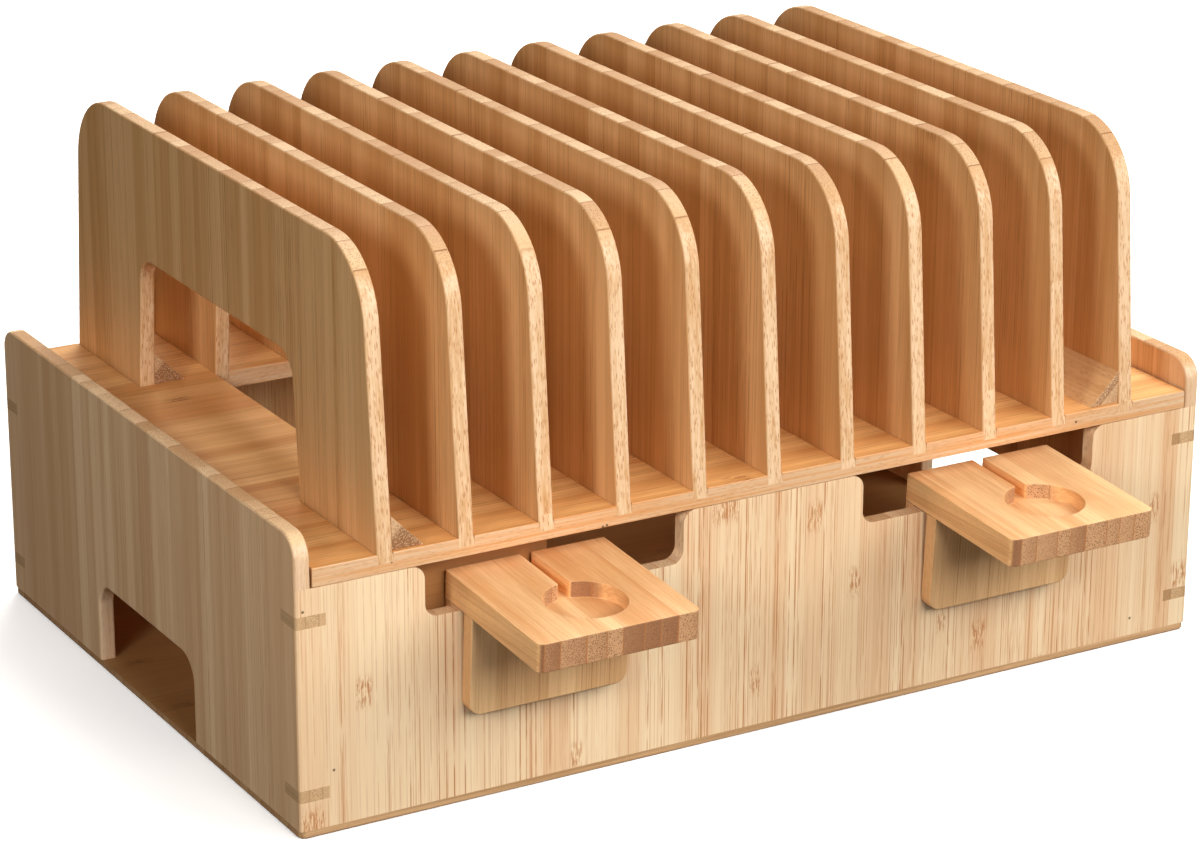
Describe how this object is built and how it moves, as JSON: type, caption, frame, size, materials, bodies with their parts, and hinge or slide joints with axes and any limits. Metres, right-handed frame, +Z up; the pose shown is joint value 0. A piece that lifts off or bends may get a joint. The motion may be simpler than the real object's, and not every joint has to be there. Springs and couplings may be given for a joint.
{
  "type": "charging station organizer",
  "caption": "Open wooden tray with a lift-off rack of upright dividers for charging devices, and two hooked platforms with round puck recesses on its front.",
  "frame": {"origin": "middle of the tray's underside", "axes": "+X to the right along the row of slots, +Y to the back, +Z up"},
  "size_m": [0.38, 0.314, 0.2035],
  "materials": {
    "tray": "clear satin lacquer on bamboo",
    "keys": "clear satin lacquer on bamboo",
    "shelf": "clear satin lacquer on bamboo",
    "dividers": "clear satin lacquer on bamboo",
    "cleats": "clear satin lacquer on bamboo",
    "mounts": "clear satin lacquer on bamboo"
  },
  "bodies": {
    "tray": {"bottom_board": "tray", "front_panel": "tray", "back_panel": "tray", "left_side_panel": "tray", "right_side_panel": "tray", "front_left_corner_keys": "keys", "front_right_corner_keys": "keys", "back_left_corner_keys": "keys", "back_right_corner_keys": "keys"},
    "rack": {"shelf_board": "shelf", "shelf_batten": "shelf", "divider_01": "dividers", "divider_02": "dividers", "divider_03": "dividers", "divider_04": "dividers", "divider_05": "dividers", "divider_06": "dividers", "divider_07": "dividers", "divider_08": "dividers", "divider_09": "dividers", "divider_10": "dividers", "divider_11": "dividers", "left_front_cleat": "cleats", "left_back_cleat": "cleats", "right_front_cleat": "cleats", "right_back_cleat": "cleats"},
    "left_watch_mount": {"left_watch_platform": "mounts", "left_watch_apron": "mounts", "left_watch_back_plate": "mounts"},
    "right_watch_mount": {"right_watch_platform": "mounts", "right_watch_apron": "mounts", "right_watch_back_plate": "mounts"}
  },
  "joints": [
    {"name": "rack_lift", "type": "slide", "parent": "tray", "child": "rack", "axis": [0, 0, 1], "range_m": [0, 0.12]},
    {"name": "left_mount_slide", "type": "slide", "parent": "tray", "child": "left_watch_mount", "axis": [1, 0, 0], "range_m": [-0.0083, 0.0212]},
    {"name": "right_mount_slide", "type": "slide", "parent": "tray", "child": "right_watch_mount", "axis": [1, 0, 0], "range_m": [-0.0212, 0.0083]}
  ]
}
